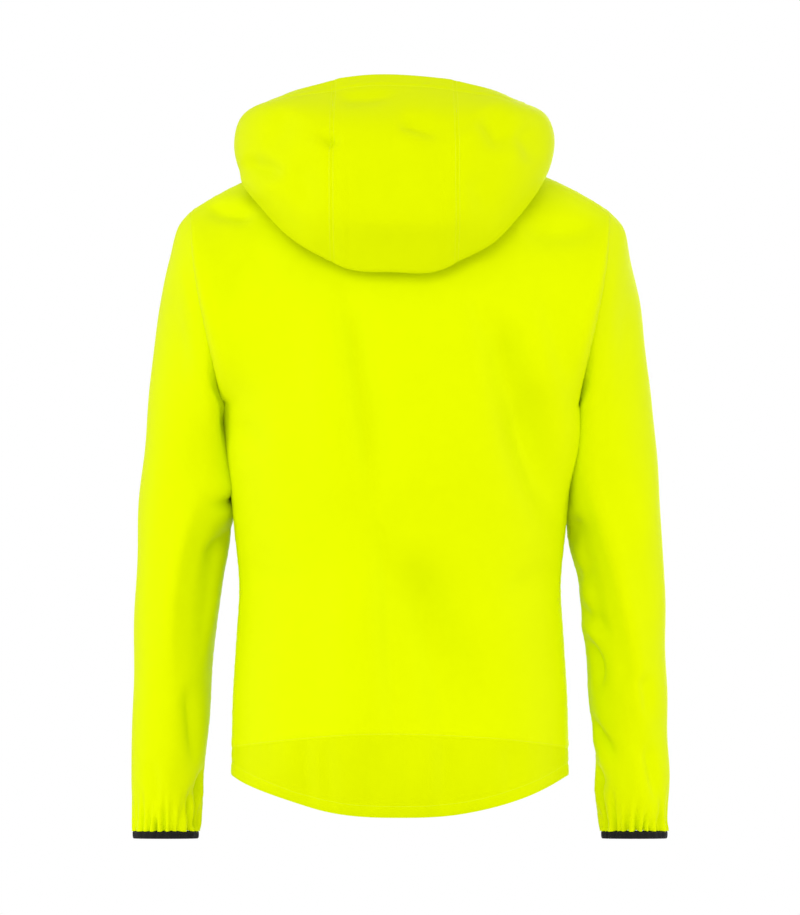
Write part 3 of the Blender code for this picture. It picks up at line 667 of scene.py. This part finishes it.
def lay(name, points, finishes, wall=WALL, closed=False):
    """A plane grid laid on rows and columns of points and made a wall of cloth. Its UV map is
    in metres along the cloth."""
    rows, columns = len(points) - 1, len(points[0]) - 1
    deselect()
    bpy.ops.mesh.primitive_grid_add(x_subdivisions=columns, y_subdivisions=rows, size=1)
    piece = bpy.context.object
    piece.name = piece.data.name = name
    mesh = piece.data
    flat = corner_points(mesh)
    i = np.rint((flat[:, 1] + 0.5) * rows).astype(int)
    j = np.rint((flat[:, 0] + 0.5) * columns).astype(int)
    mesh.vertices.foreach_set("co", points[i, j].ravel())
    across = lengths(points, 1).mean(axis=0)
    up = lengths(points, 0).mean(axis=1)
    corner = np.empty(len(mesh.loops), int)
    mesh.loops.foreach_get("vertex_index", corner)
    cloth_map = np.stack([across[j[corner]], up[i[corner]]], axis=1)
    mesh.uv_layers.active.data.foreach_set("uv", cloth_map.ravel())
    for finish in finishes:
        mesh.materials.append(finish)
    if closed:
        weld = piece.modifiers.new("Closed round", "WELD")
        weld.merge_threshold = 1e-6
        bpy.ops.object.modifier_apply(modifier=weld.name)
    thick = piece.modifiers.new("Cloth wall", "SOLIDIFY")
    thick.thickness = wall
    thick.offset = -1
    thick.material_offset = len(finishes) - 1
    bpy.ops.object.modifier_apply(modifier=thick.name)
    bpy.ops.object.shade_smooth_by_angle(angle=math.radians(50))
    return piece


def path_beside(points, edge, distance):
    """A line of points and normals on the cloth at a distance from one of its edges."""
    grid, facing = turned_grid(points, edge), turned_grid(normals(points), edge)
    along = lengths(grid, 0)
    spots, facings = (
        np.array([
            [np.interp(distance, along[:, k], table[:, k, axis]) for axis in range(3)]
            for k in range(grid.shape[1])
        ])
        for table in (grid, facing)
    )
    return spots, facings


def even_places(spots, facings, pitch):
    """Middles, directions and normals at even steps of a path."""
    along = distances(spots)
    keep = np.concatenate([[True], np.diff(along) > 1e-7])
    along, spots, facings = along[keep], spots[keep], facings[keep]
    count = max(2, int(along[-1] / pitch))
    at = (np.arange(count) + 0.5) * along[-1] / count

    def read(table, places):
        return np.stack([np.interp(places, along, table[:, k]) for k in range(3)], axis=1)

    middle = read(spots, at)
    ahead = unit(read(spots, at + pitch / 4) - read(spots, at - pitch / 4))
    up = read(facings, at)
    return middle, ahead, unit(up - (up * ahead).sum(axis=1, keepdims=True) * ahead)


def repeat(name, pattern, places, finish):
    """One mesh with a copy of the pattern at each place, its X ahead and its Z up."""
    middle, ahead, up = (np.concatenate(parts) for parts in zip(*places))
    frames = np.stack([ahead, np.cross(up, ahead), up], axis=1)
    verts = corner_points(pattern.data)
    laid = middle[:, None] + np.einsum("vk,pkc->pvc", verts, frames)
    faces = [
        tuple(v + k * len(verts) for v in face.vertices)
        for k in range(len(middle))
        for face in pattern.data.polygons
    ]
    mesh = bpy.data.meshes.new(name)
    mesh.from_pydata(laid.reshape(-1, 3), [], faces)
    mesh.materials.append(finish)
    bpy.data.objects.remove(pattern, do_unlink=True)
    piece = put(name, mesh)
    deselect()
    piece.select_set(True)
    bpy.context.view_layer.objects.active = piece
    bpy.ops.object.shade_smooth_by_angle(angle=math.radians(60))
    return piece


def stitch_pattern():
    """One visible stitch, sunk at its ends."""
    deselect()
    bpy.ops.mesh.primitive_uv_sphere_add(segments=6, ring_count=4, radius=1,
                                         rotation=(0, math.radians(90), 0))
    bpy.ops.object.transform_apply(location=False, rotation=True, scale=False)
    bpy.context.object.scale = STITCH_SIZE
    bpy.ops.object.transform_apply(location=False, rotation=False, scale=True)
    return bpy.context.object


def stitches(name, paths, finish):
    places = [even_places(*path, STITCH_PITCH) for path in paths]
    return repeat(name, stitch_pattern(), places, finish)


# ---- finishes

def set_values(node, values):
    """Plain values on a node's own sockets, whose names have a _ for each space."""
    for label, value in values.items():
        node.inputs[label.replace("_", " ")].default_value = value


def new_material(name, **values):
    made = bpy.data.materials.new(name)
    made.use_nodes = True
    shader = made.node_tree.nodes["Principled BSDF"]
    set_values(shader, values)
    return made, shader


def add_math(tree, operation, *inputs):
    node = tree.nodes.new("ShaderNodeMath")
    node.operation = operation
    for socket, value in zip(node.inputs, inputs):
        if isinstance(value, bpy.types.NodeSocket):
            tree.links.new(value, socket)
        else:
            socket.default_value = value
    return node.outputs[0]


def new_group(name, *outputs):
    """A shared group whose one input is the pitch of its threads or ribs."""
    tree = bpy.data.node_groups.new(name, "ShaderNodeTree")
    for label in ("Pitch", *outputs):
        way = "INPUT" if label == "Pitch" else "OUTPUT"
        tree.interface.new_socket(label, in_out=way, socket_type="NodeSocketFloat")
    pitch = tree.nodes.new("NodeGroupInput").outputs["Pitch"]
    return tree, pitch, tree.nodes.new("NodeGroupOutput").inputs


def cloth_place(tree):
    """The place on the cloth, whole and split into its axes."""
    place = tree.nodes.new("ShaderNodeTexCoord").outputs["UV"]
    split = tree.nodes.new("ShaderNodeSeparateXYZ")
    tree.links.new(place, split.inputs[0])
    return place, split.outputs


def add_noise(tree, place, **values):
    noise = tree.nodes.new("ShaderNodeTexNoise")
    set_values(noise, values)
    tree.links.new(place, noise.inputs["Vector"])
    return noise.outputs["Fac"]


def weave_group():
    """The relief of a plain weave and the slow unevenness of cloth, on UV maps in metres."""
    tree, pitch, leave = new_group("Woven cloth", "Threads", "Handle")
    place, axes = cloth_place(tree)
    threads = []
    for axis in (0, 1):
        turns = add_math(tree, "DIVIDE", axes[axis], pitch)
        threads.append(add_math(tree, "SINE", add_math(tree, "MULTIPLY", turns, math.pi)))
    crossed = add_math(tree, "MULTIPLY", *threads)
    uneven = add_noise(tree, place, Scale=700, Detail=2, Roughness=0.5)
    relief = add_math(tree, "MULTIPLY_ADD", uneven, 0.8, crossed)
    tree.links.new(relief, leave["Threads"])
    slow = add_noise(tree, place, Scale=55, Detail=4, Roughness=0.55)
    tree.links.new(slow, leave["Handle"])
    return tree


def ribs_group():
    """Straight ribs across a UV map in metres."""
    tree, pitch, leave = new_group("Ribs", "Ribs")
    turns = add_math(tree, "DIVIDE", cloth_place(tree)[1][0], pitch)
    ribs = add_math(tree, "SINE", add_math(tree, "MULTIPLY", turns, 2 * math.pi))
    tree.links.new(ribs, leave["Ribs"])
    return tree


def use_group(tree, group, pitch):
    node = tree.nodes.new("ShaderNodeGroup")
    node.node_tree = group
    node.inputs["Pitch"].default_value = pitch
    return node.outputs


def add_bump(tree, height, distance, strength, under=None):
    bump = tree.nodes.new("ShaderNodeBump")
    set_values(bump, {"Distance": distance, "Strength": strength})
    tree.links.new(height, bump.inputs["Height"])
    if under:
        tree.links.new(under, bump.inputs["Normal"])
    return bump.outputs["Normal"]


def add_ramp(tree, factor, *stops):
    ramp = tree.nodes.new("ShaderNodeValToRGB")
    for element, (position, colour) in zip(ramp.color_ramp.elements, stops):
        element.position = position
        element.color = (*colour, 1)
    tree.links.new(factor, ramp.inputs["Fac"])
    return ramp.outputs["Color"]


def rain_cloth(weave, name, tone=1.0):
    """Coated woven cloth in neon yellow, with a dull shine."""
    made, shader = new_material(name, Roughness=0.58, Specular_IOR_Level=0.06,
                                Specular_Tint=(0.9, 1.0, 0.0, 1))
    tree = made.node_tree
    cloth = use_group(tree, weave, THREAD_PITCH)
    # A tone below 1 darkens the whole cloth, which is painted shade
    stops = [(place, (red * tone, green * tone, 0)) for place, red, green in CLOTH_TONES]
    tree.links.new(add_ramp(tree, cloth["Handle"], *stops), shader.inputs["Base Color"])
    slow = add_bump(tree, cloth["Handle"], 0.0003, 0.4)
    fine = add_bump(tree, cloth["Threads"], 0.00004, 0.6, slow)
    tree.links.new(fine, shader.inputs["Normal"])
    return made


def with_relief(name, group, output, pitch, relief, strength, **values):
    """A material with plain values and the relief of a shared group."""
    made, shader = new_material(name, **values)
    tree = made.node_tree
    bump = add_bump(tree, use_group(tree, group, pitch)[output], relief, strength)
    tree.links.new(bump, shader.inputs["Normal"])
    return made


def cloth_inside(weave):
    """The uncoated side of the same cloth."""
    return with_relief("Neon rain cloth inside", weave, "Threads", THREAD_PITCH, 0.00006, 0.8,
                       Base_Color=(0.64, 0.75, 0.01, 1), Roughness=0.8, Specular_IOR_Level=0.15)


def black_elastic(ribs):
    return with_relief("Black elastic", ribs, "Ribs", 0.0011, 0.00015, 0.8,
                       Base_Color=(0.0075, 0.0075, 0.007, 1), Roughness=0.85,
                       Specular_IOR_Level=0.25)


def zip_tape_finish(ribs):
    return with_relief("Zip tape", ribs, "Ribs", 0.0006, 0.0001, 0.6,
                       Base_Color=(0.70, 0.84, 0.01, 1), Roughness=0.8)


def plain_finish(name, colour, roughness, metallic=0.0):
    return new_material(name, Base_Color=(*colour, 1), Roughness=roughness,
                        Metallic=metallic)[0]


# ---- pieces


def sided(name, side):
    return name + ("_left" if side > 0 else "_right")


def ride_in(piece):
    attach(piece, "jacket")


def sew_in(piece, node):
    ride_in(piece)
    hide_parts(node)


def sew_cloth(node, points, cloths, closed=False):
    """A shell of the rain cloth in the place of one of the frame's nodes."""
    sew_in(lay(node + "_cloth", points, cloths, closed=closed), node)


def make_back(cloths, painted_shade_cloths):
    """The back and its hem band, shaped as one cloth and cut at the band's seam."""
    band, back = band_points(), back_points()
    cut = len(band) - 1
    points = outward(np.concatenate([band, back[1:]]), True)
    bottom, top, left, right = edge_distances(points)
    x, z = points[..., 0], points[..., 2]
    calm = ease(left / CALM_SIDE) * ease(right / CALM_SIDE) * ease(top / CALM_TOP)
    height = calm * (creases(x, z, BACK_CREASES) + drift(x, z, 11, 0.0009, 0.12))
    height += seam(left, bottom, 21) + seam(right, bottom, 22) + seam(top, left, 24)
    from_band = bottom - bottom[cut]
    height += seam(np.abs(from_band), left, 23, 0.0005, np.where(from_band > 0, 0.0005, 0.0))
    height += turned_hem(bottom, left, 28, BAND_TURN)
    middle = ease((x - TAIL_RIGHT_X) / 0.08) * ease((TAIL_LEFT_X - x) / 0.06)
    height -= TAIL_TUCK * middle * np.clip(1 - bottom / TAIL_HEIGHT, 0, 1) ** 2
    points = lifted(points, height)
    band, back = drawn_in(points[: cut + 1]), drawn_in(points[cut:])
    sew_cloth("back", back, cloths)
    # The hem band wears the darker copy of the yellow cloth, which is painted shade
    sew_cloth("back_hem_band", band, painted_shade_cloths)
    return back, band, points


def make_front(side, cloths, behind):
    points = outward(front_points(side), side < 0)
    bottom, top, left, right = edge_distances(points)
    at_zip, outer = (left, right) if side > 0 else (right, left)
    x, z = points[..., 0], points[..., 2]
    calm = ease(at_zip / 0.025) * ease(outer / CALM_SIDE) * ease(top / CALM_TOP)
    height = calm * (creases(x, z, FRONT_CREASES) + drift(x, z, 12, 0.0010, 0.12))
    height += seam(outer, bottom, 31 + side) + seam(top, left, 34 + side)
    height += stitched_groove(at_zip, ZIP_STITCH) + turned_hem(bottom, left, 37 + side, FRONT_TURN)
    points = lifted(points, height)
    side_edge = behind[:, 0] if side > 0 else behind[:, -1]
    points = meet(points, "right" if side > 0 else "left", [side_edge],
                  lambda spots: ease((ARMPIT_Z + 0.01 - spots[:, 2]) / 0.01))
    points = meet(points, "top", [behind[-1]],
                  lambda spots: ease((np.abs(spots[:, 0]) - NECK_HALF_WIDTH) / 0.004))
    points = drawn_in(points)
    sew_cloth(sided("front", side), points, cloths)
    return points


def sleeve_scale(table):
    """The sleeve's crease table with its degrees turned into millimetres round the arm."""
    turn = math.radians(1) * ARM_RADIUS * 1000
    return [(a0 * turn, b0, a1 * turn, b1, a2 * turn, b2, *form)
            for a0, b0, a1, b1, a2, b2, *form in table]


def make_sleeve(side, cloths, armhole):
    points, at = sleeve_points(side)
    at = at[::-1] if side < 0 else at
    points = outward(points, side < 0)
    bottom, top = edge_distances(points)[:2]
    x, y, z = points[..., 0], points[..., 1], points[..., 2]
    table = LEFT_SLEEVE_CREASES if side > 0 else RIGHT_SLEEVE_CREASES
    calm = ease(top / CALM_SIDE) * ease(bottom / 0.010)
    at = np.broadcast_to(at, z.shape)
    round_arm = at * ARM_RADIUS
    height = calm * creases(round_arm, z, sleeve_scale(table))
    height += calm * drift(x + y, z, 13 + side, 0.0012, 0.10)
    height += seam(top, at * ARMHOLE_RADIUS, 41 + side)
    from_underarm = np.abs(round_arm - math.pi * ARM_RADIUS)
    height += seam(from_underarm, bottom, 44 + side) * ease(bottom / 0.03)
    height += gathers(at, bottom, side)
    swell = ease((BLOUSING_TOP_Z - z) / 0.03) * ease((z - BLOUSING_END_Z) / 0.03)
    height += BLOUSING * swell * ease(1 - np.abs(at - BLOUSING_AT))
    points = meet(lifted(points, height), "top", armhole)
    points[-1] += (points[-2] - points[-1]) * 0.06
    points[:, -1] = points[:, 0]
    sew_cloth(sided("sleeve", side), points, cloths, closed=True)


def make_binding(side, elastic):
    """A strip of elastic folded over the cuff's edge, drawn in and out by the gathers."""
    node = sided("cuff_binding", side)
    at = np.linspace(0, 2 * math.pi, 241)
    drop = np.array([1000 * (CUFF_Z - BINDING_END_Z), 7.4, 6.6, 5, 3.4, 1.8, 0.7, 0.1]) / 1000
    bulge = np.array([-0.8, -0.2, 0.1, 0.3, 0.3, 0.2, 0, -0.6]) / 1000
    ring = sleeve_ring(SLEEVE_RINGS[-1], at) * (side, 1, 1)
    grid = ring - drop[:, None, None] * (0, 0, 1)
    at = at[::-1] if side < 0 else at
    grid = outward(grid, side < 0)
    follow = np.array([0.10, 0.12, 0.14, 0.16, 0.19, 0.23, 0.25, 0.27])[:, None]
    height = follow * gathers(at, np.zeros((1, len(at))), side) + bulge[:, None]
    grid = lifted(grid, height)
    grid[:, -1] = grid[:, 0]
    piece = lay(node + "_elastic", grid, [elastic], wall=ELASTIC_WALL, closed=True)
    sew_in(piece, node)
    return grid


def hood_heights(points):
    """The folds of the loose hood, which lies in two layers."""
    x, y, z = points[..., 0], points[..., 1], points[..., 2]
    outer_layer = ease((HOOD_PLACES - HOOD_FOLD_PLACE) / 0.06)[:, None]
    loose = ease(HOOD_PLACES / 0.15)[:, None]
    return outer_layer * creases(x, z, HOOD_CREASES) + loose * drift(x + y, z, 17, 0.0010, 0.10)


def make_hood(cloths, neck):
    """The hood, shaped as one cloth and cut into its panels at two seams."""
    points = hood_points()
    bottom, top, left, right = edge_distances(points)
    cuts = (SIDE_COLUMNS, SIDE_COLUMNS + 2 * CENTRE_COLUMNS)
    height = hood_heights(points) * ease(left / 0.03) * ease(right / 0.03)
    for seed, cut in enumerate(cuts):
        from_seam = left - left[:, cut : cut + 1]
        inside = from_seam > 0 if cut == cuts[0] else from_seam < 0
        height += seam(np.abs(from_seam), bottom, 51 + seed, 0.0003,
                       np.where(inside, 0.0002, 0.0))
    height += seam(bottom, left, 53) + turned_hem(top, left, 54)
    height += stitched_groove(left, ZIP_STITCH) + stitched_groove(right, ZIP_STITCH)
    points = meet(lifted(points, height), "bottom", neck)
    x, z = points[..., 0], points[..., 2]
    tuck = ease((HOOD_TUCK_Z - z) / 0.066) * ease((HOOD_TUCK_X - np.abs(x)) / 0.04)
    points[..., 1] -= HOOD_TUCK * tuck
    panels = []
    for node, first, last, cut in (
        ("hood_left", 0, cuts[0], "hood side"),
        ("hood_centre", cuts[0], cuts[1], "hood centre"),
        ("hood_right", cuts[1], points.shape[1] - 1, "hood side"),
    ):
        panel = drawn_in(points[:, first : last + 1])
        sew_cloth(node, panel, cloths)
        panels.append(panel)
    return panels


# ---- zip

TAPE_WIDTH, TAPE_DEPTH, TAPE_WALL = 0.0130, 0.0023, 0.0009
COIL_HALF_WIDTH, COIL_DEPTH, COIL_WALL = 0.0028, 0.0006, 0.0011
TOOTH_PITCH, TOOTH_SIZE, TOOTH_BEVEL = 0.0016, (0.00066, 0.0026, 0.0012), 0.00018
TOOTH_SHIFT, TOOTH_REACH, TOOTH_DEPTH = 0.0004, 0.00105, 0.0002


def tooth_pair():
    """Two teeth side by side, one from each tape, seen along the zip."""
    deselect()
    pair = []
    for side in (1, -1):
        place = (-side * TOOTH_SHIFT, side * TOOTH_REACH, -TOOTH_DEPTH)
        bpy.ops.mesh.primitive_cube_add(size=1, location=place)
        bpy.context.object.scale = TOOTH_SIZE
        pair.append(bpy.context.object)
    deselect()
    for tooth in pair:
        tooth.select_set(True)
    bpy.context.view_layer.objects.active = pair[0]
    bpy.ops.object.join()
    bpy.ops.object.transform_apply(location=True, rotation=True, scale=True)
    edge = pair[0].modifiers.new("Round edges", "BEVEL")
    edge.width = TOOTH_BEVEL
    edge.segments = 1
    bpy.ops.object.modifier_apply(modifier=edge.name)
    return pair[0]


def make_zip(tape_finish, coil_finish):
    for side in (1, -1):
        node = sided("zip_tape", side)
        points = zip_points(0.0003, TAPE_WIDTH, 6)
        points = points - normals(points) * TAPE_DEPTH
        points[..., 0] *= side
        points = outward(points, side < 0)
        tape = lay(node + "_cloth", points, [tape_finish], wall=TAPE_WALL)
        sew_in(tape, node)
    half = zip_points(0, COIL_HALF_WIDTH, 3)
    chain = both_halves(half - normals(half) * COIL_DEPTH)
    base = lay("zip_chain", chain, [coil_finish], wall=COIL_WALL)
    ride_in(base)
    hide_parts("zip_coil")
    middle = zip_points(0, COIL_HALF_WIDTH, 2)
    facing = normals(middle)[:, 0]
    facing[:, 0] = 0
    places = [even_places(middle[:, 0], facing, TOOTH_PITCH)]
    ride_in(repeat("zip_teeth", tooth_pair(), places, coil_finish))


# ---- sewing

def above_armpit(path):
    """The part of a path that runs beside the armhole or the shoulder."""
    spots, facings = path
    above = spots[:, 2] > ARMPIT_Z + 0.01
    return spots[above], facings[above]


def paths_beside(points, **edges):
    """Paths beside a panel's edges, at the distances given with their names."""
    return [path_beside(points, edge, distance) for edge, distance in edges.items()]


def sew(back, band, fronts, bindings, hood, yellow, black):
    hood_left, hood_centre, hood_right = hood
    seams = {"left": STITCH_INSET, "right": STITCH_INSET}
    on_body = [above_armpit(path) for path in paths_beside(back, **seams)]
    on_body += paths_beside(back, bottom=BAND_STITCH, top=STITCH_INSET)
    on_body += paths_beside(band, bottom=BAND_TURN)
    on_hood = paths_beside(hood_centre, **seams, top=HEM_TURN)
    for side, front, panel in zip((1, -1), fronts, (hood_left, hood_right)):
        zip_edge, outer = ("left", "right") if side > 0 else ("right", "left")
        on_body += paths_beside(front, **{"bottom": FRONT_TURN, zip_edge: ZIP_STITCH})
        on_body.append(above_armpit(path_beside(front, outer, STITCH_INSET)))
        around = {zip_edge: ZIP_STITCH, outer: STITCH_INSET}
        on_hood += paths_beside(panel, **around, bottom=STITCH_INSET, top=HEM_TURN)
    on_cuffs = [path_beside(binding, "top", CUFF_STITCH) for binding in bindings]
    for name, paths, thread, slot in (
        ("body_stitches", on_body, yellow, "yellow_cloth"),
        ("hood_stitches", on_hood, yellow, "yellow_cloth"),
        ("cuff_stitches", on_cuffs, black, "black_elastic"),
    ):
        ride_in(stitches(name, paths, thread))


# ---- studio

BELOW, ABOVE = 0.38, 0.79  # the light from the ground and the sky, beside white 1.0
CAMERA_PLACE, CAMERA_LENS = (0, 30, -0.326), 1113.5
LIGHTS_AIM, FLOOR_PLACE, FLOOR_SIZE = Vector((0, 0, -0.33)), (0, 0, -1.45), 13
LIGHTS = (
    ("Behind", (0.9, 3.7, 1.5), 2.2, 53),
    ("Left side", (3.6, 1.1, 0.1), 1.8, 25),
    ("Right side", (-3.6, 1.1, 0.1), 1.8, 29),
    ("Before", (-0.6, -4.0, 0.3), 2.4, 46),
)


def make_world():
    """White all round at eye level, and softer light from above and below."""
    world = bpy.data.worlds.new("White studio")
    bpy.context.scene.world = world
    world.use_nodes = True
    tree = world.node_tree
    direction = tree.nodes.new("ShaderNodeTexCoord").outputs["Generated"]
    split = tree.nodes.new("ShaderNodeSeparateXYZ")
    tree.links.new(direction, split.inputs[0])
    place = add_math(tree, "MULTIPLY_ADD", split.outputs["Z"], 0.5, 0.5)
    colour = add_ramp(tree, place, (0, (BELOW,) * 3), (1, (ABOVE,) * 3))
    ramp = colour.node.color_ramp
    for position, level in ((0.42, BELOW), (0.46, 1.0), (0.54, 1.0), (0.58, ABOVE)):
        ramp.elements.new(position).color = (level, level, level, 1)
    tree.links.new(colour, tree.nodes["Background"].inputs["Color"])


def add_area(name, place, size, energy):
    light = bpy.data.lights.new(name, "AREA")
    light.shape = "SQUARE"
    light.size = size
    light.energy = energy
    lamp = put(name, light, place)
    lamp.rotation_euler = (LIGHTS_AIM - Vector(place)).to_track_quat("-Z", "Y").to_euler()


def make_studio():
    make_world()
    for light in LIGHTS:
        add_area(*light)
    deselect()
    bpy.ops.mesh.primitive_plane_add(size=FLOOR_SIZE, location=FLOOR_PLACE)
    floor = bpy.context.object
    floor.name = "floor"
    floor.data.materials.append(plain_finish("Pale floor", (0.84, 0.84, 0.83), 0.9))

    camera = bpy.data.cameras.new("Camera")
    camera.sensor_width = 36
    camera.lens = CAMERA_LENS
    camera.clip_end = 60
    shot = put("Camera", camera, CAMERA_PLACE)
    shot.rotation_euler = (math.radians(90), 0, math.radians(180))
    scene = bpy.context.scene
    scene.camera = shot
    scene.view_settings.view_transform = "Standard"
    scene.view_settings.look = "None"


def dress_metal(metal):
    for node in ("zip_slider", "zip_pull"):
        for slot in bpy.data.objects[node].material_slots:
            slot.material = metal


def main():
    weave, ribs = weave_group(), ribs_group()
    yellow, inside = rain_cloth(weave, "Neon rain cloth"), cloth_inside(weave)
    # A darker copy of the yellow cloth for the hood and the hem band, which is painted shade
    painted_shade_yellow = rain_cloth(weave, "Neon rain cloth with painted shade", HOOD_AND_BAND_PAINTED_SHADE)
    elastic = black_elastic(ribs)
    cloths = [yellow, inside]
    back, band, behind = make_back(cloths, [painted_shade_yellow, inside])
    fronts = [make_front(side, cloths, behind) for side in (1, -1)]
    for side, front in zip((1, -1), fronts):
        edges = (behind[:, 0], front[:, -1]) if side > 0 else (behind[:, -1], front[:, 0])
        armhole = [edge[edge[:, 2] > ARMPIT_Z - 0.004] for edge in edges]
        make_sleeve(side, cloths, armhole)
    bindings = [make_binding(side, elastic) for side in (1, -1)]
    # The hood wears the darker copy of the yellow cloth, which is painted shade
    hood = make_hood([painted_shade_yellow, inside], [behind[-1], fronts[0][-1], fronts[1][-1]])
    make_zip(zip_tape_finish(ribs), plain_finish("Zip coil", (0.66, 0.80, 0.01), 0.42))
    yellow_thread = plain_finish("Yellow thread", (0.70, 0.82, 0.005), 0.6)
    black_thread = plain_finish("Black thread", (0.012, 0.012, 0.011), 0.6)
    sew(back, band, fronts, bindings, hood, yellow_thread, black_thread)
    dress_metal(plain_finish("Grey metal", (0.34, 0.34, 0.35), 0.34, 0.95))
    make_studio()


main()
